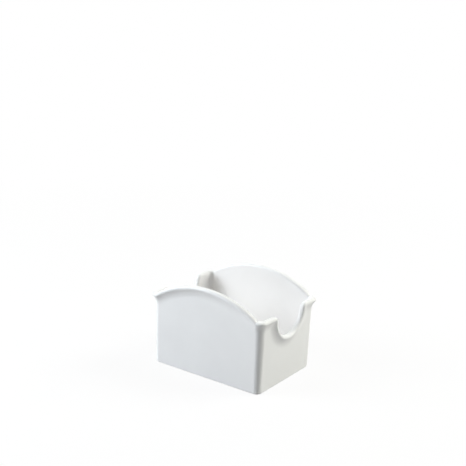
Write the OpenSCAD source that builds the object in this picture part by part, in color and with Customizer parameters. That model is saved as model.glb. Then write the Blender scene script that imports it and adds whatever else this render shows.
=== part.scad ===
// Open-topped holder for sugar packets, moulded in one piece.
// The long sides rise in an arch, the short ends are cut down in a finger notch, and one flared rim
// runs round the whole edge. The origin is the middle of the footprint, on the surface it stands on.

/* [Rim outline] */
// Length over the rim
rim_length = 80; // [70:1:140]
// Width over the rim
rim_width = 60; // [54:1:110]
// Height of the rim at the four corners
corner_height = 43.8; // [34:0.2:80]
// Rise of each arch above the corners
arch_rise = 11; // [4:0.5:20]
// Distance from each end of the rim to the foot of the arch
arch_inset = 4.6; // [3:0.1:10]

/* [Walls] */
// Thickness of the walls
wall = 1.8; // [1.2:0.1:2.6]
// Thickness of the floor
floor_thickness = 2.2; // [1.4:0.1:4]
// Outward lean of the walls in degrees
draft_angle = 1; // [0:0.1:3]
// Outer radius of the upright corners at the foot
corner_radius = 3.5; // [3:0.1:8]
// Radius between floor and walls, inside
floor_fillet = 2.5; // [0.5:0.1:5]

/* [Flared rim] */
// Reach of the rim beyond the wall
rim_reach = 1.8; // [1.2:0.1:4]
// Further reach of the rim on the diagonal of each corner
corner_flare = 0.6; // [0:0.1:1.2]
// Radius of the hollow curve under the rim
cove_radius = 9.5; // [5:0.5:14]
// Radius of the rounded outer edge
rim_edge_radius = 1.4; // [0.6:0.1:1.8]
// Radius of the rounded inner edge
inner_edge_radius = 1.5; // [0.4:0.1:1.8]

/* [Finger notches] */
// Radius of the round bottom of each notch
notch_radius = 13.4; // [8:0.1:14]
// Depth of each notch below the corners
notch_depth = 15.2; // [15:0.1:24]
// Radius of the shoulders beside each notch
shoulder_radius = 3.5; // [2.5:0.1:4]

/* [Foot] */
// Width of the flat ring that the holder stands on
foot_width = 2.4; // [1.5:0.1:6]
// Height of the hollow inside the ring
foot_recess = 0.8; // [0.3:0.1:1.2]
// Rounding of the outer bottom edge
foot_edge_radius = 0.9; // [0.3:0.1:1.4]

/* [Hidden] */

// Steps along one quarter of the rim: half a long side, a corner and half an end
ARCH_STEPS = 13;
CORNER_STEPS = 8;
TOP_STEPS = 4;
SHOULDER_STEPS = 5;
SIDE_STEPS = 1;
BOWL_STEPS = 9;
// Steps along the curves of the wall's section
UNDER_STEPS = 2;
OVER_STEPS = 3;
COVE_STEPS = 7;
INNER_STEPS = 4;
FOOT_STEPS = 3;
FILLET_STEPS = 3;

// The four corner centres make a rectangle. Every plan point lies on it, plus a distance straight out.
// A curve inside the least radius keeps that radius and draws the rectangle in instead.
least_radius = corner_radius / 8;
lean = tan(draft_angle);
arch_top = corner_height + arch_rise;
function rim_out_at(z) = corner_radius + lean * (z - rim_edge_radius) + rim_reach;
rim_out = rim_out_at(corner_height);
center_x = rim_length / 2 - rim_out;
center_y = rim_width / 2 - rim_out_at(arch_top);

// One circle makes each arch
arch_foot = rim_length / 2 - arch_inset;
arch_radius = (arch_foot * arch_foot + arch_rise * arch_rise) / (2 * arch_rise);

// Round a corner the rim follows a squarer curve than the wall: the higher the power, the squarer
rim_power = 1 / (1 / 2 - ln(1 + corner_flare / rim_out) / ln(2));
function corner_bulge(out) = pow(pow(abs(out[0]), rim_power) + pow(abs(out[1]), rim_power), -1 / rim_power) - 1;

// The section nearest to the foot of each arch moves onto it, so that the rim bends there
arch_step = center_x / ARCH_STEPS;
arch_foot_step = round(arch_foot / arch_step);
function arch_place(i) = i == arch_foot_step ? arch_foot : arch_step * i;
foot_share = min(1, max(0, (arch_foot - center_x) / rim_out));
kink_angle = atan2(foot_share, pow(1 - pow(foot_share, rim_power), 1 / rim_power));
corner_turn = 90 / CORNER_STEPS;
kink_step = round(kink_angle / corner_turn);
function corner_place(i) = i > 0 && i == kink_step ? kink_angle : corner_turn * i;

// The cove touches the wall below and the rounded edge above
edge_from_cove = cove_radius + rim_edge_radius;
cove_side = edge_from_cove - rim_reach;
cove_drop = sqrt(edge_from_cove * edge_from_cove - cove_side * cove_side);
cove_depth = rim_edge_radius + cove_drop;
cove_start = cove_depth - cove_drop * cove_radius / edge_from_cove;
edge_turn = atan(cove_drop / cove_side);

// A notch is a circle with straight sides above it, and a shoulder circle touches side and rim
bowl_z = corner_height - notch_depth + notch_radius;
shoulder_z = corner_height - shoulder_radius;
side_length = max(0, shoulder_z - bowl_z);
touch_rise = max(0, bowl_z - shoulder_z);
touch_angle = asin(touch_rise / (notch_radius + shoulder_radius));
shoulder_y = (notch_radius + shoulder_radius) * cos(touch_angle);

// How far sections beside a notch move out towards the corner on their way down
room_beside = center_y - shoulder_y;
drift_share = 0.35;
// How sharply two coves blend where they meet beside a notch
blend_power = 4;

function lerp(a, b, t) = a + (b - a) * t;

// Height of the arch's circle, and the cosine of its slope, at a distance from the middle
function arch_x(x) = min(abs(x), arch_foot + arch_inset);
function arch_z(x) = arch_top - arch_radius + sqrt(arch_radius * arch_radius - arch_x(x) * arch_x(x));
function arch_cos(x) = sqrt(1 - pow(arch_x(x) / arch_radius, 2));

// Height of a line that runs a given depth inside the rim of a long side or a corner
function below_rim(x, depth) =
    max(arch_z(x) - depth / arch_cos(x), corner_height - depth);

// Reach of the cove at a depth inside the rim
function cove(depth) =
    depth >= cove_depth ? 0 : cove_radius - sqrt(cove_radius * cove_radius - pow(cove_depth - depth, 2));

// Distance from a point on an end wall to the edge of the notch
function from_notch(y, z) = norm([y, min(0, z - bowl_z)]) - notch_radius;

// Reach of the cove on an end wall, where the rim's cove blends into the notch's
function end_cove(y, z) =
    pow(pow(cove(corner_height - z), blend_power) + pow(cove(from_notch(y, z)), blend_power), 1 / blend_power);

// Lowest line of the coves on an end wall
function belt_z(y) =
    let (reach = notch_radius + cove_depth)
    min(corner_height - cove_depth, bowl_z - sqrt(max(0, reach * reach - y * y)));

// A point at a height: anchor on the rectangle, direction out, and offset from the outer wall.
// Round a corner the flare grows squarer the further it reaches.
function wall_place(anchor, out, offset, z) =
    let (
        flare_share = min(1, max(0, offset / rim_reach)),
        radius = corner_radius + lean * z + offset,
        drawn_in = max(0, least_radius - radius),
        distance = (radius + drawn_in) * (1 + flare_share * corner_bulge(out))
    )
    [anchor[0] * (1 - drawn_in / center_x) + out[0] * distance,
     anchor[1] * (1 - drawn_in / center_y) + out[1] * distance,
     z];

// The rounded outer edge, from the cove to the widest line and on to the top: [depth, offset from the wall]
edge_turns = concat(
    [for (i = [1 : UNDER_STEPS]) lerp(-edge_turn, 0, i / UNDER_STEPS)],
    [for (i = [1 : OVER_STEPS]) 90 * i / OVER_STEPS]);
edge_points = [for (turn = edge_turns)
    [rim_edge_radius * (1 - sin(turn)), rim_reach - rim_edge_radius * (1 - cos(turn))]];

// The rounded inner edge, from the top to the inner wall: [depth, offset from the outer wall]
inner_points = [for (i = [0 : INNER_STEPS])
    let (turn = 90 * i / INNER_STEPS)
    [inner_edge_radius * (1 - cos(turn)), inner_edge_radius * (1 - sin(turn)) - wall]];

// The foot, from the hollow's roof to the upright wall
function foot_column(anchor, out) = concat(
    [wall_place(anchor, out, -foot_width - foot_recess, foot_recess),
     wall_place(anchor, out, -foot_width, 0)],
    [for (i = [0 : FOOT_STEPS])
        let (turn = 90 * i / FOOT_STEPS)
        wall_place(anchor, out, -foot_edge_radius * (1 - sin(turn)), foot_edge_radius * (1 - cos(turn)))]);

// The inside, from the upright wall down round the fillet to the floor
function floor_column(anchor, out) =
    [for (i = [0 : FILLET_STEPS])
        let (turn = 90 * i / FILLET_STEPS)
        wall_place(anchor, out, -wall - floor_fillet * (1 - cos(turn)),
            floor_thickness + floor_fillet * (1 - sin(turn)))];

// One upright section of a long side or a corner
function side_column(anchor, out) =
    let (x = anchor[0] + out[0] * rim_out * (1 + corner_bulge(out)))
    concat(
        foot_column(anchor, out),
        [for (i = [0 : COVE_STEPS])
            let (depth = lerp(cove_depth, cove_start, i / COVE_STEPS))
            wall_place(anchor, out, cove(depth), below_rim(x, depth))],
        [for (p = concat(edge_points, inner_points)) wall_place(anchor, out, p[1], below_rim(x, p[0]))],
        floor_column(anchor, out));

// One section of an end wall: rim point, direction into the wall, and drift towards the corner
function end_column(rim, inward, drift) =
    let (
        out = [1, 0],
        start = rim + cove_start * inward,
        low_y = start[0] - drift,
        low = [low_y, belt_z(low_y)],
        anchor = [center_x, low_y]
    )
    concat(
        foot_column(anchor, out),
        [for (i = [0 : COVE_STEPS])
            let (p = lerp(low, start, i / COVE_STEPS))
            wall_place([center_x, p[0]], out, end_cove(p[0], p[1]), p[1])],
        [for (e = concat(edge_points, inner_points))
            let (p = rim + e[0] * inward)
            wall_place([center_x, p[0]], out, e[1], p[1])],
        floor_column(anchor, out));

// Half of an end wall's rim, from the corner to the middle of the notch: [point, direction into the wall]
end_rim = concat(
    [for (i = [0 : TOP_STEPS - 1])
        [[lerp(-center_y, -shoulder_y, i / TOP_STEPS), corner_height], [0, -1]]],
    [for (i = [0 : SHOULDER_STEPS])
        let (turn = (90 + touch_angle) * i / SHOULDER_STEPS, out = [sin(turn), cos(turn)])
        [[-shoulder_y, shoulder_z] + shoulder_radius * out, -out]],
    side_length > 0 ?
        [for (i = [1 : SIDE_STEPS])
            [[-notch_radius, lerp(shoulder_z, bowl_z, i / SIDE_STEPS)], [-1, 0]]]
        : [],
    [for (i = [1 : BOWL_STEPS])
        let (turn = lerp(90 - touch_angle, 0, i / BOWL_STEPS), down = [-sin(turn), -cos(turn)])
        [[0, bowl_z] + notch_radius * down, down]]);

// Sections of one quarter, from the middle of the front to the middle of the right end
function corner_out(turn) = [sin(turn), -cos(turn)];
quarter = concat(
    [for (i = [0 : ARCH_STEPS - 1])
        side_column([arch_place(i), -center_y], [0, -1])],
    [for (i = [0 : CORNER_STEPS - 1])
        side_column([center_x, -center_y], corner_out(corner_place(i)))],
    [for (i = [0 : len(end_rim) - 1])
        let (share = min(i / TOP_STEPS, (len(end_rim) - 1 - i) / (len(end_rim) - 1 - TOP_STEPS)))
        end_column(end_rim[i][0], end_rim[i][1], share * drift_share * room_beside)]);

// The quarter mirrored round the whole holder, each shared section once
function flip(column, sx, sy) = [for (p = column) [sx * p[0], sy * p[1], p[2]]];
last = len(quarter) - 1;
loop = concat(
    [for (i = [0 : last]) quarter[i]],
    [for (i = [last - 1 : -1 : 0]) flip(quarter[i], 1, -1)],
    [for (i = [1 : last]) flip(quarter[i], -1, -1)],
    [for (i = [last - 1 : -1 : 1]) flip(quarter[i], -1, 1)]);

// Skin over a closed loop of sections. Each flat end is a fan of triangles round a middle point,
// because a fan from one rim point would hold flat triangles along the straight sides.
module skin(loop) {
    rings = len(loop);
    rows = len(loop[0]);
    under = rings * rows;
    over = under + 1;
    points = concat(
        [for (column = loop) for (p = column) p],
        [[0, 0, loop[0][0][2]], [0, 0, loop[0][rows - 1][2]]]);
    sides = [for (i = [0 : rings - 1]) for (k = [0 : rows - 2])
        let (a = i * rows + k, b = ((i + 1) % rings) * rows + k)
        [a, a + 1, b + 1, b]];
    fans = [for (i = [0 : rings - 1])
        let (a = i * rows, b = ((i + 1) % rings) * rows)
        each [[under, a, b], [over, b + rows - 1, a + rows - 1]]];
    polyhedron(points = points, faces = concat(sides, fans), convexity = 6);
}

module holder_body() {
    color("whitesmoke") skin(loop);
}

holder_body();
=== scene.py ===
# %% [markdown]
# # A white holder for sugar packets
#
# The real object is one piece of white moulded plastic, 80 mm long and 60 mm wide. Its long sides rise
# in an arch, each short end is cut down in a round finger notch, and one flared rim runs round the
# whole edge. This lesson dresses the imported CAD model: it sets the camera, grows a finer copy of the
# form with Geometry Nodes, gives it a satin plastic finish, and lights it as in a small studio.

# %% Load the frame
import math

import bpy
from mathutils import Matrix, Vector


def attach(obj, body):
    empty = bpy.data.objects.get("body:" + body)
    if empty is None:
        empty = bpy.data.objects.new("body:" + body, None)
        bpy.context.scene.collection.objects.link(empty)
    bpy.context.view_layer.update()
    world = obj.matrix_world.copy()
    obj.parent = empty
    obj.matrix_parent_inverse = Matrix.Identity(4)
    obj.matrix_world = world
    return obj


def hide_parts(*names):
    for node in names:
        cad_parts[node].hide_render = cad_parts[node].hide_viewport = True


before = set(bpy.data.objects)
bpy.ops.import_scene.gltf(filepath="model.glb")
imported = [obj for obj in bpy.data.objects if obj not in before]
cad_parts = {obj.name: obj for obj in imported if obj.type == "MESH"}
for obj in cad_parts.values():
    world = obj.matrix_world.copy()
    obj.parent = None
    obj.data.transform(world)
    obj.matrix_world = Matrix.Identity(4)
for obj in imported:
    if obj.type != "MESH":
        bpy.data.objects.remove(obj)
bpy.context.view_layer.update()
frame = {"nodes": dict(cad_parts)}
MM = 0.001
print("CAD nodes:", ", ".join(frame["nodes"]))

# %% [markdown]
# ## The camera
#
# The picture is square, 466 pixels a side. The angles, in degrees, and the focal length, in pixels, were
# fitted to the edges of the object, with its length and width known. A camera could be aimed at the
# object with a Track To constraint, but here the object lies low in the picture. So the camera's place
# is worked out from the pixel on which a point in the middle of the holder falls.

# %% Camera
PICTURE_PX = 466
FOCAL_PX = 946.4
SENSOR_MM = 36.0
AZIMUTH, ELEVATION, ROLL = 34.9, 15.9, 2.23
AIM = Vector((0, 0, 25 * MM))
AIM_PX = (233.2, 324.1)
DISTANCE = 560 * MM
NEAR_CLIP = 10 * MM


def direction(azimuth, elevation):
    """Away from the object. Azimuth 0 is in front of a long side, and 90 is at the right end."""
    a, e = math.radians(azimuth), math.radians(elevation)
    return Vector((math.sin(a) * math.cos(e), -math.cos(a) * math.cos(e), math.sin(e)))


def camera_axes(azimuth, elevation, roll):
    """The camera's own right, up and back directions, for angles in degrees."""
    a, r = math.radians(azimuth), math.radians(roll)
    back = direction(azimuth, elevation)
    level_right = Vector((math.cos(a), math.sin(a), 0))
    level_up = back.cross(level_right)
    right = math.cos(r) * level_right + math.sin(r) * level_up
    up = math.cos(r) * level_up - math.sin(r) * level_right
    return right, up, back


right, up, back = camera_axes(AZIMUTH, ELEVATION, ROLL)
aside = (AIM_PX[0] - PICTURE_PX / 2) / FOCAL_PX * DISTANCE
below = (AIM_PX[1] - PICTURE_PX / 2) / FOCAL_PX * DISTANCE
place = AIM - aside * right + below * up + DISTANCE * back

camera = bpy.data.objects.new("Camera", bpy.data.cameras.new("Camera"))
camera.matrix_world = Matrix.Translation(place) @ Matrix((right, up, back)).transposed().to_4x4()
camera.data.sensor_width = SENSOR_MM
camera.data.lens = FOCAL_PX * SENSOR_MM / PICTURE_PX
camera.data.clip_start = NEAR_CLIP
bpy.context.scene.collection.objects.link(camera)
bpy.context.scene.camera = camera
print("camera at", [round(value / MM) for value in place], "mm, lens", round(camera.data.lens, 1))

# %% [markdown]
# ## Sizes of the holder
#
# These are the named sizes of the CAD model, in millimetres. Blender works in metres, so they are
# multiplied by MM as they enter the tree. The draft is the small lean of the walls, in degrees, that
# lets a moulding leave its mould.

# %% Sizes
SIZES = {
    "Rim length": 80,
    "Rim width": 60,
    "Corner height": 43.8,
    "Arch rise": 11,
    "Arch inset": 4.6,
    "Wall": 1.8,
    "Floor thickness": 2.2,
    "Corner radius": 3.5,
    "Floor fillet": 2.5,
    "Rim reach": 1.8,
    "Corner flare": 0.6,
    "Cove radius": 9.5,
    "Rim edge radius": 1.4,
    "Inner edge radius": 1.5,
    "Notch radius": 13.4,
    "Notch depth": 15.2,
    "Shoulder radius": 3.5,
    "Foot width": 2.4,
    "Foot recess": 0.8,
    "Foot edge radius": 0.9,
}
DRAFT_ANGLE = 1.0
print("named sizes:", len(SIZES) + 1)

# %% [markdown]
# ## Sums as nodes
#
# The holder could be drawn by hand under a Subdivision Surface, or cut from a block with Booleans. Here
# it is a loft instead: an upright section of the wall is carried round a rectangle with round corners,
# while the height of the rim changes. So the rim, the cove under it and the notch flow into one another
# without a crease, and every size stays an input. A rule like that suits Geometry Nodes, but long sums
# are tiring to wire by hand. The small class below lets a sum be written as in school, and each step
# of the sum adds one Math node to the tree.


# %% A number in the tree
class Number:
    """A value in the node tree, which may differ from point to point."""

    def __init__(self, tree, socket):
        self.tree, self.socket = tree, socket

    def __add__(self, other):
        return maths("ADD", self, other)

    def __radd__(self, other):
        return maths("ADD", other, self)

    def __sub__(self, other):
        return maths("SUBTRACT", self, other)

    def __rsub__(self, other):
        return maths("SUBTRACT", other, self)

    def __mul__(self, other):
        return maths("MULTIPLY", self, other)

    def __rmul__(self, other):
        return maths("MULTIPLY", other, self)

    def __truediv__(self, other):
        return maths("DIVIDE", self, other)

    def __rtruediv__(self, other):
        return maths("DIVIDE", other, self)

    def __neg__(self):
        return maths("MULTIPLY", self, -1)


def maths(operation, *values):
    """One Math node. Plain numbers go on its sockets, and tree numbers are linked to them."""
    tree = next(value.tree for value in values if isinstance(value, Number))
    node = tree.nodes.new("ShaderNodeMath")
    node.operation = operation
    for socket, value in zip(node.inputs, values):
        if isinstance(value, Number):
            tree.links.new(value.socket, socket)
        else:
            socket.default_value = value
    return Number(tree, node.outputs[0])


print("a sum can now be written as nodes")

# %% [markdown]
# Plain words for the other operations make the sums below easier to read. A test such as above() gives
# 1 or 0, and choose() turns it into one of two values, because a tree has no if.


# %% Words for the sums
def least(a, b):
    return maths("MINIMUM", a, b)


def most(a, b):
    return maths("MAXIMUM", a, b)


def clamp(a):
    return least(most(a, 0), 1)


def root(a):
    return maths("SQRT", most(a, 0))


def power(a, b):
    return maths("POWER", a, b)


def sine(a):
    return maths("SINE", a)


def cosine(a):
    return maths("COSINE", a)


def mix(a, b, share):
    return a + (b - a) * share


def above(a, b):
    return maths("GREATER_THAN", a, b)


def choose(test, yes, no):
    """yes where the test is 1, no where it is 0."""
    return test * yes + (1 - test) * no


print("words for the sums ready")

# %% [markdown]
# ## Stations round the rim
#
# A quarter of the rim runs from the middle of a long side to the middle of an end, and the other three
# quarters are its mirror images. Each stretch of the quarter has its own count of steps, so that a
# station falls exactly where two stretches meet, as at the kink between arch and corner. On an end the
# stretches are the straight top, the shoulder, the side of the notch and its bowl. The rows run from
# the hollow under the foot up the outside, over the rim and down to the middle of the floor.

# %% Counts
QUARTERS = 4
STEPS = {"arch": 36, "kink": 4, "corner": 14, "top": 10, "shoulder": 12, "side": 2, "bowl": 30}
STARTS = {}
quarter_steps = 0
for stretch, count in STEPS.items():
    STARTS[stretch] = quarter_steps
    quarter_steps += count
ROWS = {
    "under": 5,
    "foot": 10,
    "wall": 8,
    "cove": 20,
    "edge": 10,
    "over": 8,
    "inside": 12,
    "fillet": 8,
    "floor": 6,
}
print("stations round the rim:", QUARTERS * quarter_steps, "rows over the wall:", sum(ROWS.values()))

# %% [markdown]
# ## The tree
#
# Each zone of the section, such as the foot, the cove or the rounded edge, is one flat grid whose
# points are moved into place. A grid runs from 0 to 1 round the rim, and from 0 to 1 through its zone,
# so one set of sums serves all grids. Neighbouring grids share their border points, which are merged.

# %% Start the tree with its named inputs
tree = bpy.data.node_groups.new("Moulded holder", "GeometryNodeTree")
tree.interface.new_socket("Geometry", in_out="OUTPUT", socket_type="NodeSocketGeometry")
for name, value in SIZES.items():
    socket = tree.interface.new_socket(name, in_out="INPUT", socket_type="NodeSocketFloat")
    socket.subtype = "DISTANCE"
    socket.default_value = value * MM
draft_socket = tree.interface.new_socket("Draft", in_out="INPUT", socket_type="NodeSocketFloat")
draft_socket.subtype = "ANGLE"
draft_socket.default_value = math.radians(DRAFT_ANGLE)
tree.interface.new_socket("Plastic", in_out="INPUT", socket_type="NodeSocketMaterial")
entry = tree.nodes.new("NodeGroupInput")
size = {name: Number(tree, entry.outputs[name]) for name in SIZES}
lean = maths("TANGENT", Number(tree, entry.outputs["Draft"]))
print("inputs:", len(SIZES) + 2)

# %% [markdown]
# The sums that follow from the sizes come next. The rectangle has the centres of the four round corners
# at its own corners. The inner corners never get sharper than a small least radius.

# %% The rectangle
LEAST_RADIUS_SHARE = 1 / 8


def rim_out_at(z):
    """How far the widest line of the rim lies from the rectangle, for a rim at height z."""
    return size["Corner radius"] + lean * (z - size["Rim edge radius"]) + size["Rim reach"]


arch_top = size["Corner height"] + size["Arch rise"]
rim_out = rim_out_at(size["Corner height"])
centre_x = size["Rim length"] / 2 - rim_out
centre_y = size["Rim width"] / 2 - rim_out_at(arch_top)
least_radius = size["Corner radius"] * LEAST_RADIUS_SHARE
print("nodes so far:", len(tree.nodes))

# %% [markdown]
# The arch of a long side is a circle through its two feet. Seen from above, the rim goes round a corner
# as a superellipse, a circle that is a little squarer. Its power is chosen so that the rim reaches out
# by the corner flare on the diagonal, which makes the small pointed lips of the real holder. The kink
# angle says where on that corner the arch ends.

# %% The arch and the corner
QUARTER_TURN = math.pi / 2
arch_foot = size["Rim length"] / 2 - size["Arch inset"]
arch_radius = (arch_foot * arch_foot + size["Arch rise"] * size["Arch rise"]) / (2 * size["Arch rise"])
rim_power = 1 / (0.5 - maths("LOGARITHM", size["Corner flare"] / rim_out + 1, 2))
foot_share = clamp((arch_foot - centre_x) / rim_out)
kink_angle = maths("ARCTAN2", foot_share, power(1 - power(foot_share, rim_power), 1 / rim_power))
print("nodes so far:", len(tree.nodes))

# %% [markdown]
# The cove is a large hollow round under the rim, tangent to the wall below it and to the rounded edge
# above it. Depths are measured from the rim down: the cove begins at the wall at cove_depth and meets
# the rounded edge at cove_start. The notch has two circles, its bowl and its shoulder. They touch at
# touch_angle, and only in a notch deeper than both radii together does a straight side lie between.

# %% The cove and the notch
edge_from_cove = size["Cove radius"] + size["Rim edge radius"]
cove_side = edge_from_cove - size["Rim reach"]
cove_drop = root(edge_from_cove * edge_from_cove - cove_side * cove_side)
cove_depth = size["Rim edge radius"] + cove_drop
cove_start = cove_depth - cove_drop * size["Cove radius"] / edge_from_cove
edge_turn = maths("ARCTANGENT", cove_drop / cove_side)

bowl_z = size["Corner height"] - size["Notch depth"] + size["Notch radius"]
shoulder_z = size["Corner height"] - size["Shoulder radius"]
both_radii = size["Notch radius"] + size["Shoulder radius"]
touch_angle = maths("ARCSINE", most(bowl_z - shoulder_z, 0) / both_radii)
shoulder_y = both_radii * cosine(touch_angle)
room_beside = centre_y - shoulder_y
print("nodes so far:", len(tree.nodes))

# %% [markdown]
# Now the station itself. A ping-pong of the way round folds the loop into quarters. The first quarter
# lies at positive x and negative y, and the flips mirror it for the other three. Each stretch then has
# a share from 0 to 1, which stays at 0 before the stretch and at 1 after it, so places and directions
# can be built up stretch by stretch.

# %% Where a point is round the rim and through its zone
HALF_STEP = 0.5
spot = tree.nodes.new("ShaderNodeSeparateXYZ")
tree.links.new(tree.nodes.new("GeometryNodeInputPosition").outputs[0], spot.inputs[0])
round_way = Number(tree, spot.outputs["X"]) + 0.5
through = Number(tree, spot.outputs["Y"]) + 0.5
station = maths("PINGPONG", round_way * QUARTERS, 1) * quarter_steps
share = {stretch: clamp((station - STARTS[stretch]) / STEPS[stretch]) for stretch in STEPS}
flip_x = 1 - 2 * above(round_way, 0.5)
flip_y = 1 - 2 * above(round_way, 0.25) * above(0.75, round_way)
on_end = above(station, STARTS["top"] - HALF_STEP)
past_shoulder = above(station, STARTS["side"] + HALF_STEP)
past_side = above(station, STARTS["bowl"] + HALF_STEP)
print("nodes so far:", len(tree.nodes))

# %% [markdown]
# On a long side and a corner, a section stands on the rectangle and looks straight out. On an end wall
# it looks along X, and its place follows the edge of the notch: along the top, round the shoulder, and
# down the bowl. inward_y and inward_z say which way the wall lies from the edge.

# %% The section's stand on the plan
corner_turn = kink_angle * share["kink"] + (QUARTER_TURN - kink_angle) * share["corner"]
out_x = choose(on_end, 1, sine(corner_turn))
out_y = choose(on_end, 0, -cosine(corner_turn))
side_x = centre_x * share["arch"]

shoulder_turn = (QUARTER_TURN - touch_angle) * share["shoulder"]
bowl_turn = mix(QUARTER_TURN - touch_angle, 0, share["bowl"])
print("nodes so far:", len(tree.nodes))

# %% The edge of the notch
top_y = mix(-centre_y, -shoulder_y, share["top"])
edge_y = choose(
    past_side,
    -size["Notch radius"] * sine(bowl_turn),
    choose(
        past_shoulder,
        -size["Notch radius"] * cosine(touch_angle),
        top_y + size["Shoulder radius"] * sine(shoulder_turn),
    ),
)
side_top = shoulder_z + size["Shoulder radius"] * sine(touch_angle)
side_foot = bowl_z - size["Notch radius"] * sine(touch_angle)
edge_z = choose(
    past_side,
    bowl_z - size["Notch radius"] * cosine(bowl_turn),
    choose(
        past_shoulder,
        mix(side_top, side_foot, share["side"]),
        shoulder_z + size["Shoulder radius"] * cosine(shoulder_turn),
    ),
)
inward_y = -choose(
    past_side,
    sine(bowl_turn),
    choose(past_shoulder, cosine(touch_angle), sine(shoulder_turn)),
)
inward_z = -choose(
    past_side,
    cosine(bowl_turn),
    choose(past_shoulder, sine(touch_angle), cosine(shoulder_turn)),
)
print("nodes so far:", len(tree.nodes))

# %% [markdown]
# The rim's height is a circle on the long sides, and flat in the corners. The cove swells out from the
# wall by its reach. Beside a notch two coves meet, the rim's and the notch's, and a high power blends
# them without a crease.


# %% Height of the rim and reach of the cove
BLEND_POWER = 4


def line_below_rim(x, depth):
    """Height of a line that runs a given depth inside the rim of a long side or a corner."""
    far = least(maths("ABSOLUTE", x), arch_foot + size["Arch inset"])
    height = root(arch_radius * arch_radius - far * far)
    slope = height / arch_radius
    return most(arch_top - arch_radius + height - depth / slope, size["Corner height"] - depth)


def cove_reach(depth):
    """How far the cove stands out from the wall at a depth below the rim."""
    up_the_cove = most(cove_depth - depth, 0)
    side = root(size["Cove radius"] * size["Cove radius"] - up_the_cove * up_the_cove)
    return size["Cove radius"] - side


def end_cove_reach(y, z):
    """The same on an end wall, where the rim's cove and the notch's cove are blended."""
    under = least(z - bowl_z, 0)
    from_notch = root(y * y + under * under) - size["Notch radius"]
    top = power(cove_reach(size["Corner height"] - z), BLEND_POWER)
    notch = power(cove_reach(from_notch), BLEND_POWER)
    return power(top + notch, 1 / BLEND_POWER)


def belt_height(y):
    """Lowest line of the coves on an end wall."""
    circle = size["Notch radius"] + cove_depth
    return least(size["Corner height"] - cove_depth, bowl_z - root(circle * circle - y * y))


print("rim and cove ready")

# %% [markdown]
# On an end wall, the foot of the cove drifts from its station towards the corner, by a share of the
# room beside the notch, so that the lines of the mesh spread evenly round the notch. The bulge is what
# the superellipse adds to the plain round corner.

# %% The foot of the cove and the bulge of the corner
DRIFT_SHARE = 0.35
ended = station - STARTS["top"]
left = quarter_steps - station
drift_share = least(ended / STEPS["top"], left / (quarter_steps - STARTS["shoulder"]))
drift = most(drift_share, 0) * DRIFT_SHARE * room_beside
start_y = edge_y + cove_start * inward_y
start_z = edge_z + cove_start * inward_z
low_y = start_y - drift
low_z = belt_height(low_y)

anchor_x = choose(on_end, centre_x, side_x)
anchor_y = choose(on_end, low_y, -centre_y)
squareness = power(maths("ABSOLUTE", out_x), rim_power) + power(maths("ABSOLUTE", out_y), rim_power)
bulge = power(squareness, -1 / rim_power) - 1
rim_x = anchor_x + out_x * rim_out * (1 + bulge)
print("nodes so far:", len(tree.nodes))

# %% [markdown]
# Every point is then one of three kinds: on the wall at a known height, a depth inside the rim, or on
# the cove between them. Each returns its place as three numbers.


# %% Points of a section
def section_point(y_place, offset, z):
    """A point at height z, an offset out from the outer wall, for a section that stands at y_place."""
    flare_share = clamp(offset / size["Rim reach"])
    radius = size["Corner radius"] + lean * z + offset
    drawn_in = most(least_radius - radius, 0)
    distance = (radius + drawn_in) * (1 + flare_share * bulge)
    x = anchor_x * (1 - drawn_in / centre_x) + out_x * distance
    y = y_place * (1 - drawn_in / centre_y) + out_y * distance
    return x, y, z


def on_wall(offset, z):
    return section_point(anchor_y, offset, z)


def in_rim(depth, offset):
    """A point at a depth inside the rim, an offset out from the outer wall."""
    z = choose(on_end, edge_z + inward_z * depth, line_below_rim(rim_x, depth))
    return section_point(choose(on_end, edge_y + inward_y * depth, -centre_y), offset, z)


def on_cove(share_up):
    """A point on the cove, from 0 at the wall to 1 at the rounded edge."""
    depth = mix(cove_depth, cove_start, share_up)
    y_end = mix(low_y, start_y, share_up)
    z_end = mix(low_z, start_z, share_up)
    z = choose(on_end, z_end, line_below_rim(rim_x, depth))
    reach = choose(on_end, end_cove_reach(y_end, z_end), cove_reach(depth))
    return section_point(choose(on_end, y_end, -centre_y), reach, z)


print("points of a section ready")

# %% [markdown]
# The zones follow, first those of the outside. In the flat zone under the foot the whole plan shrinks
# to its middle point. The foot zone holds three parts: the slope out of the hollow, the flat ring that
# the holder stands on, and the rounded edge. The flat share says how much of the zone the first two
# parts take.

# %% Zones of the outside
FOOT_FLAT = 0.3


def under_zone():
    x, y, z = on_wall(-size["Foot width"] - size["Foot recess"], size["Foot recess"])
    return x * through, y * through, z


def foot_zone():
    slope_end = FOOT_FLAT / 2
    slope = clamp(through / slope_end)
    flat = clamp((through - slope_end) / slope_end)
    turn = clamp((through - FOOT_FLAT) / (1 - FOOT_FLAT)) * QUARTER_TURN
    radius = size["Foot edge radius"]
    hollow = size["Foot recess"] * (1 - slope)
    sloping = on_wall(-size["Foot width"] - hollow, hollow)
    offset = mix(-size["Foot width"], -radius, flat) + radius * sine(turn)
    curved = on_wall(offset, radius * (1 - cosine(turn)))
    past_slope = above(through, slope_end)
    return tuple(choose(past_slope, b, a) for a, b in zip(sloping, curved))


def wall_zone():
    top = choose(on_end, low_z, line_below_rim(rim_x, cove_depth))
    return on_wall(0, mix(size["Foot edge radius"], top, through))


def cove_zone():
    return on_cove(through)


print("zones of the outside ready")

# %% [markdown]
# Over the rim and down the inside. The rounded edge starts where the cove ends and turns up to the top
# of the rim, a short flat follows, and the inner edge has a softer round. The floor shrinks to its
# middle point, as the hollow under the foot does.

# %% Zones of the rim and the inside
RIM_FLAT = 0.15


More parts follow.
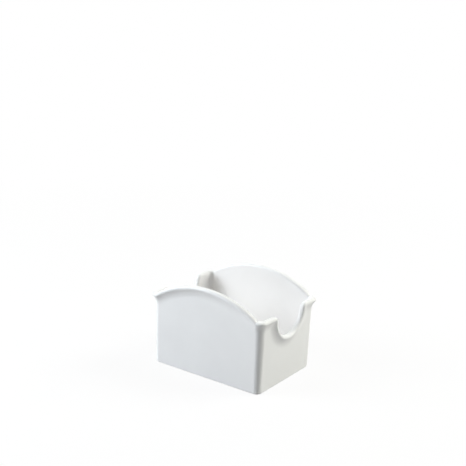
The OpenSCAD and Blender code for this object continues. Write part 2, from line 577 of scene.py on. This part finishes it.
def edge_zone():
    """Round the nose of the rim. Its first row is the cove's last one, so the two zones join."""
    turn = mix(-edge_turn, QUARTER_TURN, through)
    radius = size["Rim edge radius"]
    rounded = in_rim(radius * (1 - sine(turn)), size["Rim reach"] - radius * (1 - cosine(turn)))
    first_row = above(HALF_STEP / ROWS["edge"], through)
    return tuple(choose(first_row, a, b) for a, b in zip(on_cove(1), rounded))


def over_zone():
    """From the outer edge's top across the flat and round the inner edge."""
    turn = clamp((through - RIM_FLAT) / (1 - RIM_FLAT)) * QUARTER_TURN
    radius = size["Inner edge radius"]
    start = in_rim(0, size["Rim reach"] - size["Rim edge radius"])
    curved = in_rim(radius * (1 - cosine(turn)), radius * (1 - sine(turn)) - size["Wall"])
    flat = clamp(through / RIM_FLAT)
    return tuple(mix(a, b, flat) for a, b in zip(start, curved))


def inside_zone():
    top = in_rim(size["Inner edge radius"], -size["Wall"])
    foot = on_wall(-size["Wall"], size["Floor thickness"] + size["Floor fillet"])
    return tuple(mix(a, b, through) for a, b in zip(top, foot))


def fillet_zone():
    turn = through * QUARTER_TURN
    radius = size["Floor fillet"]
    offset = -size["Wall"] - radius * (1 - cosine(turn))
    return on_wall(offset, size["Floor thickness"] + radius * (1 - sine(turn)))


def floor_zone():
    x, y, z = on_wall(-size["Wall"] - size["Floor fillet"], size["Floor thickness"])
    return x * (1 - through), y * (1 - through), z


ZONES = {
    "under": under_zone,
    "foot": foot_zone,
    "wall": wall_zone,
    "cove": cove_zone,
    "edge": edge_zone,
    "over": over_zone,
    "inside": inside_zone,
    "fillet": fillet_zone,
    "floor": floor_zone,
}
INSIDE = ("inside", "fillet", "floor")
print("zones:", ", ".join(ZONES))

# %% [markdown]
# Now each zone gets its grid. The points also keep a mark that says whether they are inside the holder,
# because the material paints the inside a hair warmer, as a stand-in for the warm light that bounces
# about in the hollow. A named attribute is a simple way to carry such a mark from the tree to the
# material.


# %% One grid for each zone
def zone_grid(zone, place_points):
    """A grid moved into place, with an attribute that says whether it is inside the holder."""
    grid = tree.nodes.new("GeometryNodeMeshGrid")
    grid.inputs["Size X"].default_value = 1
    grid.inputs["Size Y"].default_value = 1
    grid.inputs["Vertices X"].default_value = QUARTERS * quarter_steps + 1
    grid.inputs["Vertices Y"].default_value = ROWS[zone] + 1
    x, y, z = place_points()
    point = tree.nodes.new("ShaderNodeCombineXYZ")
    for socket, number in zip(point.inputs, (flip_x * x, flip_y * y, z)):
        tree.links.new(number.socket, socket)
    mark = tree.nodes.new("GeometryNodeStoreNamedAttribute")
    mark.data_type = "FLOAT"
    mark.domain = "POINT"
    mark.inputs["Name"].default_value = "inside"
    mark.inputs["Value"].default_value = 1 if zone in INSIDE else 0
    move = tree.nodes.new("GeometryNodeSetPosition")
    tree.links.new(grid.outputs["Mesh"], mark.inputs["Geometry"])
    tree.links.new(mark.outputs["Geometry"], move.inputs["Geometry"])
    tree.links.new(point.outputs[0], move.inputs["Position"])
    return move.outputs["Geometry"]


join = tree.nodes.new("GeometryNodeJoinGeometry")
for zone, place_points in ZONES.items():
    tree.links.new(zone_grid(zone, place_points), join.inputs["Geometry"])
print("nodes in the tree:", len(tree.nodes))

# %% [markdown]
# The grids are merged into one closed skin. Edges that bend by more than 35 degrees, such as those of
# the slope under the foot, stay sharp in the shading, and everything else is shaded smooth, the kink
# beside an arch included.

# %% Merge, shade and finish
SHARP_BEND = math.radians(35)
MERGE_DISTANCE = 0.001 * MM
merge = tree.nodes.new("GeometryNodeMergeByDistance")
merge.inputs["Distance"].default_value = MERGE_DISTANCE
smooth = tree.nodes.new("GeometryNodeSetShadeSmooth")
smooth.domain = "EDGE"
bend = tree.nodes.new("GeometryNodeInputMeshEdgeAngle")
gentle = above(SHARP_BEND, Number(tree, bend.outputs["Unsigned Angle"]))
realize = tree.nodes.new("GeometryNodeRealizeInstances")
paint = tree.nodes.new("GeometryNodeSetMaterial")
leave = tree.nodes.new("NodeGroupOutput")
tree.links.new(join.outputs[0], merge.inputs["Geometry"])
tree.links.new(merge.outputs["Geometry"], smooth.inputs["Geometry"])
tree.links.new(gentle.socket, smooth.inputs["Shade Smooth"])
tree.links.new(smooth.outputs["Geometry"], realize.inputs["Geometry"])
tree.links.new(realize.outputs["Geometry"], paint.inputs["Geometry"])
tree.links.new(entry.outputs["Plastic"], paint.inputs["Material"])
tree.links.new(paint.outputs["Geometry"], leave.inputs["Geometry"])
print("tree finished with", len(tree.nodes), "nodes")

# %% [markdown]
# ## The plastic
#
# The real surface is white moulded plastic with a satin gloss, almost without marks. A plain white would
# look like paper, so two effects carry it: a slow mottle, which moves the colour and the gloss by a
# hair, and a very fine grain that breaks up reflections. The table below the holder uses the mottle
# too, with larger patches. Each effect is a node group with named inputs, so it is built only once.


# %% A group with named sockets
def effect_group(name, inputs, output):
    """An empty node group with number sockets, and the nodes where it starts and ends."""
    group = bpy.data.node_groups.new(name, "ShaderNodeTree")
    for socket_name, value in inputs.items():
        socket = group.interface.new_socket(socket_name, in_out="INPUT", socket_type="NodeSocketFloat")
        socket.default_value = value
    group.interface.new_socket(output, in_out="OUTPUT", socket_type="NodeSocketFloat")
    return group, group.nodes.new("NodeGroupInput"), group.nodes.new("NodeGroupOutput")


def noise(group, scale_socket, detail, roughness):
    """Noise on Object coordinates, with its scale from a socket of the group."""
    node = group.nodes.new("ShaderNodeTexNoise")
    coordinates = group.nodes.new("ShaderNodeTexCoord")
    group.links.new(coordinates.outputs["Object"], node.inputs["Vector"])
    group.links.new(scale_socket, node.inputs["Scale"])
    node.inputs["Detail"].default_value = detail
    node.inputs["Roughness"].default_value = roughness
    return node.outputs["Fac"]


print("helpers for effects ready")

# %% Slow mottle
MOTTLE_DETAIL, MOTTLE_ROUGHNESS = 3, 0.55
mottle, mottle_in, mottle_out = effect_group(
    "Slow mottle", {"Scale": 40.0, "Low": 0.35, "High": 0.65}, "Mask"
)
cloud = noise(mottle, mottle_in.outputs["Scale"], MOTTLE_DETAIL, MOTTLE_ROUGHNESS)
stretch_mask = mottle.nodes.new("ShaderNodeMapRange")
mottle.links.new(cloud, stretch_mask.inputs["Value"])
mottle.links.new(mottle_in.outputs["Low"], stretch_mask.inputs["From Min"])
mottle.links.new(mottle_in.outputs["High"], stretch_mask.inputs["From Max"])
mottle.links.new(stretch_mask.outputs["Result"], mottle_out.inputs["Mask"])
print("effect:", mottle.name)

# %% Fine grain
FINE_DETAIL, FINE_ROUGHNESS = 2, 0.5
WAVE_DETAIL, WAVE_ROUGHNESS = 1, 0.4
grain, grain_in, grain_out = effect_group(
    "Fine grain", {"Scale": 2500.0, "Long wave scale": 90.0, "Long wave share": 0.5}, "Height"
)
fine = Number(grain, noise(grain, grain_in.outputs["Scale"], FINE_DETAIL, FINE_ROUGHNESS))
wave = Number(grain, noise(grain, grain_in.outputs["Long wave scale"], WAVE_DETAIL, WAVE_ROUGHNESS))
height = fine + wave * Number(grain, grain_in.outputs["Long wave share"])
grain.links.new(height.socket, grain_out.inputs["Height"])
print("effect:", grain.name)

# %% [markdown]
# Three helpers put a material together: one makes it, one places an effect with its own values, and one
# blends two colours. A Mix node has sockets for every kind of value, and those for colours are reached
# by their place in the list, because their names are used more than once.

# %% Helpers for materials
MIX_FIRST, MIX_SECOND, MIX_RESULT = 6, 7, 2


def new_material(name):
    material = bpy.data.materials.new(name)
    material.use_nodes = True
    return material, material.node_tree, material.node_tree.nodes["Principled BSDF"]


def place_group(material, group, **values):
    node = material.node_tree.nodes.new("ShaderNodeGroup")
    node.node_tree = group
    for name, value in values.items():
        node.inputs[name].default_value = value
    return node


def blend_colours(material, share, first, second):
    """first where the share is 0, second where it is 1. Each is a colour or a socket."""
    node = material.node_tree.nodes.new("ShaderNodeMix")
    node.data_type = "RGBA"
    for socket, value in ((node.inputs[MIX_FIRST], first), (node.inputs[MIX_SECOND], second)):
        if isinstance(value, tuple):
            socket.default_value = (*value, 1)
        else:
            material.node_tree.links.new(value, socket)
    material.node_tree.links.new(share, node.inputs["Factor"])
    return node.outputs[MIX_RESULT]


print("helpers for materials ready")

# %% [markdown]
# The holder's material. The colour moves between two near-whites, the inside is painted a hair warmer
# as a stand-in for the warm light that bounces about in it, and the gloss is a little lower where its
# own, finer mottle is high.

# %% Colour of the plastic
OUTSIDE_BRIGHT = (0.912, 0.912, 0.908)
OUTSIDE_DULL = (0.888, 0.888, 0.884)
# The inside pair is the same plastic painted a hair warmer, a stand-in for the warm light that bounces
# about inside the holder.
INSIDE_PAINTED_BOUNCE_BRIGHT = (0.922, 0.912, 0.905)
INSIDE_PAINTED_BOUNCE_DULL = (0.902, 0.892, 0.884)
COLOUR_PATCHES = 38.0

plastic, plastic_nodes, plastic_shader = new_material("White_moulded_plastic")
patches = place_group(plastic, mottle, Scale=COLOUR_PATCHES).outputs["Mask"]
outside_colour = blend_colours(plastic, patches, OUTSIDE_BRIGHT, OUTSIDE_DULL)
inside_painted_bounce_colour = blend_colours(plastic, patches, INSIDE_PAINTED_BOUNCE_BRIGHT, INSIDE_PAINTED_BOUNCE_DULL)
inside_mark = plastic_nodes.nodes.new("ShaderNodeAttribute")
inside_mark.attribute_name = "inside"
plastic_colour = blend_colours(plastic, inside_mark.outputs["Fac"], outside_colour, inside_painted_bounce_colour)
plastic_nodes.links.new(plastic_colour, plastic_shader.inputs["Base Color"])
print("plastic has", len(plastic_nodes.nodes), "nodes")

# %% Gloss and grain of the plastic
GLOSS_PATCHES = 120.0
LEAST_ROUGHNESS = 0.30
ROUGHNESS_SPREAD = 0.06
PLASTIC_IOR = 1.5
GRAIN_STRENGTH = 0.05
GRAIN_HEIGHT = 0.1 * MM

gloss_patches = place_group(plastic, mottle, Scale=GLOSS_PATCHES).outputs["Mask"]
roughness = Number(plastic_nodes, gloss_patches) * ROUGHNESS_SPREAD + LEAST_ROUGHNESS
plastic_nodes.links.new(roughness.socket, plastic_shader.inputs["Roughness"])
plastic_shader.inputs["IOR"].default_value = PLASTIC_IOR
bump = plastic_nodes.nodes.new("ShaderNodeBump")
bump.inputs["Strength"].default_value = GRAIN_STRENGTH
bump.inputs["Distance"].default_value = GRAIN_HEIGHT
plastic_nodes.links.new(place_group(plastic, grain).outputs["Height"], bump.inputs["Height"])
plastic_nodes.links.new(bump.outputs["Normal"], plastic_shader.inputs["Normal"])
print("plastic has", len(plastic_nodes.nodes), "nodes")

# %% [markdown]
# ## Growing the holder
#
# The tree is put on an empty mesh as a modifier, the material goes in through its named input, and the
# evaluated result is kept as a plain mesh. The modifier isn't needed after that.


# %% Bake the tree to a mesh
def grow(name, node_tree, materials):
    """The mesh that a tree makes, with each named material input set first."""
    host = bpy.data.objects.new(name, bpy.data.meshes.new(name))
    bpy.context.scene.collection.objects.link(host)
    modifier = host.modifiers.new(name, "NODES")
    modifier.node_group = node_tree
    sockets = node_tree.interface.items_tree
    identifiers = {item.name: item.identifier for item in sockets if item.in_out == "INPUT"}
    for socket_name, value in materials.items():
        modifier[identifiers[socket_name]] = value
    bpy.context.view_layer.update()
    evaluated = host.evaluated_get(bpy.context.evaluated_depsgraph_get())
    mesh = bpy.data.meshes.new_from_object(evaluated)
    host.modifiers.remove(modifier)
    host.data = mesh
    return host


holder = grow("Moulded_holder", tree, {"Plastic": plastic})
print("holder:", len(holder.data.vertices), "points,", len(holder.data.polygons), "faces")

# %% [markdown]
# Faces have to point outward. A closed skin whose faces point inward has a volume below zero, so the
# volume tells, and it can be compared with the 27.7 cubic centimetres of the CAD model.

# %% Turn the faces outward and measure
CM3_PER_M3 = 1e6


def signed_volume(mesh):
    """The sum of the tetrahedra between the origin and each triangle, a sixth of a triple product."""
    total = 0
    for face in mesh.polygons:
        first, *others = (mesh.vertices[index].co for index in face.vertices)
        for second, third in zip(others, others[1:]):
            total += first.dot(second.cross(third))
    return total / 6


volume = signed_volume(holder.data)
if volume < 0:
    holder.data.flip_normals()
print("volume in cubic cm:", round(abs(volume) * CM3_PER_M3, 2), "turned" if volume < 0 else "as made")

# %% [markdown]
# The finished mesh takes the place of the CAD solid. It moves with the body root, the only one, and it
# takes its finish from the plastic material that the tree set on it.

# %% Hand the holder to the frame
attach(holder, "root")
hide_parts("holder_body")
print(holder.name, "stands for holder_body")

# %% [markdown]
# ## Floor and light
#
# The real holder stands free on a white ground that runs into a white background. A white table under
# it could be had with more light, but then the holder would be lit from below as strongly as from
# above, and its forms would fade. So the table is a quiet grey for the light that bounces from it, and
# white for what the camera and the reflections see of it. Light Path tells those rays apart. Close to
# the holder a tenth of the real shading is mixed in, which keeps the soft shadow round the foot.

# %% Floor
FLOOR_HALF = 3.0
floor_mesh = bpy.data.meshes.new("Studio_floor")
corners = [(x * FLOOR_HALF, y * FLOOR_HALF, 0) for x, y in ((-1, -1), (1, -1), (1, 1), (-1, 1))]
floor_mesh.from_pydata(corners, [], [(0, 1, 2, 3)])
floor = bpy.data.objects.new("Studio_floor", floor_mesh)
bpy.context.scene.collection.objects.link(floor)
print("floor half width", FLOOR_HALF, "m")

# %% [markdown]
# The table's own colour first: grey for light that bounces, and a faintly mottled white otherwise.

# %% Colour of the table
TABLE_GREY = (0.35, 0.35, 0.35)
TABLE_WHITE = (0.90, 0.90, 0.90)
TABLE_WHITE_DULL = (0.88, 0.88, 0.88)
TABLE_PATCHES = 6.0
TABLE_ROUGHNESS = 0.7


def seen_directly(node_tree):
    """1 for what the camera or a reflection sees, 0 for light that bounces."""
    path = node_tree.nodes.new("ShaderNodeLightPath")
    seen_by_camera = Number(node_tree, path.outputs["Is Camera Ray"])
    return most(seen_by_camera, Number(node_tree, path.outputs["Is Glossy Ray"]))


table, table_nodes, table_shader = new_material("Pale_table")
table_mask = place_group(table, mottle, Scale=TABLE_PATCHES).outputs["Mask"]
table_white = blend_colours(table, table_mask, TABLE_WHITE, TABLE_WHITE_DULL)
seen = seen_directly(table_nodes)
table_colour = blend_colours(table, seen.socket, TABLE_GREY, table_white)
table_nodes.links.new(table_colour, table_shader.inputs["Base Color"])
table_shader.inputs["Roughness"].default_value = TABLE_ROUGHNESS
print("table nodes:", len(table_nodes.nodes))

# %% [markdown]
# Then the white glow that the camera and the reflections see in its place. It is nine tenths near the
# holder and grows to the whole further out, where the table has to run into the white background.

# %% Glow of the table
GLOW_NEAR = 0.90
NEAR_M, FAR_M = 0.15, 0.50
WHITE_STRENGTH = 1.0

from_middle = table_nodes.nodes.new("ShaderNodeVectorMath")
from_middle.operation = "LENGTH"
table_place = table_nodes.nodes.new("ShaderNodeTexCoord")
table_nodes.links.new(table_place.outputs["Object"], from_middle.inputs[0])
outward = clamp((Number(table_nodes, from_middle.outputs["Value"]) - NEAR_M) / (FAR_M - NEAR_M))
glow_share = seen * (outward * (1 - GLOW_NEAR) + GLOW_NEAR)
glow = table_nodes.nodes.new("ShaderNodeEmission")
glow.inputs["Strength"].default_value = WHITE_STRENGTH
either = table_nodes.nodes.new("ShaderNodeMixShader")
table_nodes.links.new(glow_share.socket, either.inputs[0])
table_nodes.links.new(table_shader.outputs[0], either.inputs[1])
table_nodes.links.new(glow.outputs[0], either.inputs[2])
table_nodes.links.new(either.outputs[0], table_nodes.nodes["Material Output"].inputs["Surface"])
floor_mesh.materials.append(table)
print("table nodes:", len(table_nodes.nodes))

# %% [markdown]
# The world does the same as the table: white for what is seen directly, and only a weak light from all
# round for everything else, so that the lamps can shape the holder.

# %% World
WORLD_LIGHT = 0.06
world = bpy.data.worlds.new("Studio")
bpy.context.scene.world = world
world.use_nodes = True
world_nodes = world.node_tree
background = world_nodes.nodes["Background"]
background.inputs["Color"].default_value = (1, 1, 1, 1)
strength = seen_directly(world_nodes) * (1 - WORLD_LIGHT) + WORLD_LIGHT
world_nodes.links.new(strength.socket, background.inputs["Strength"])
print("world light", WORLD_LIGHT)

# %% [markdown]
# Six square soft boxes hang on a sphere round the holder. Three stand at the front left and are a little
# cool. Two stand opposite, at the back right, and are a little warm. A weak one hangs high at the back
# left and brightens the tops of the rim. None stands in front of the near corner, so it turns into the
# darker upright band that shows how the two walls meet.

# %% Lamps
LAMP_DISTANCE = 0.90
LAMP_SIDE = 0.45
COOL = (0.912, 0.955, 1.0)
NEUTRAL = (1.0, 0.98, 0.98)
WARM = (0.995, 1.0, 0.935)
LAMPS = {
    "Front_left_box": (300, 22, 2.05, COOL),
    "Front_box": (315, 22, 4.90, COOL),
    "Front_high_box": (315, 45, 1.75, COOL),
    "Back_left_high_box": (225, 45, 0.90, NEUTRAL),
    "Right_low_box": (120, 5, 2.50, WARM),
    "Back_high_box": (135, 45, 6.10, WARM),
}


def soft_lamp(name, azimuth, elevation, power_w, colour):
    """A square soft box that faces the holder."""
    data = bpy.data.lights.new(name, "AREA")
    data.shape = "SQUARE"
    data.size = LAMP_SIDE
    data.energy = power_w
    data.color = colour
    lamp = bpy.data.objects.new(name, data)
    away = direction(azimuth, elevation)
    lamp.location = AIM + LAMP_DISTANCE * away
    lamp.rotation_euler = (-away).to_track_quat("-Z", "Y").to_euler()
    bpy.context.scene.collection.objects.link(lamp)


for name, settings in LAMPS.items():
    soft_lamp(name, *settings)
print("lamps:", ", ".join(LAMPS))

# %% [markdown]
# The standard view shows colours as they are written, which a white object on white needs.

# %% View
bpy.context.scene.view_settings.view_transform = "Standard"
print("view transform:", bpy.context.scene.view_settings.view_transform)
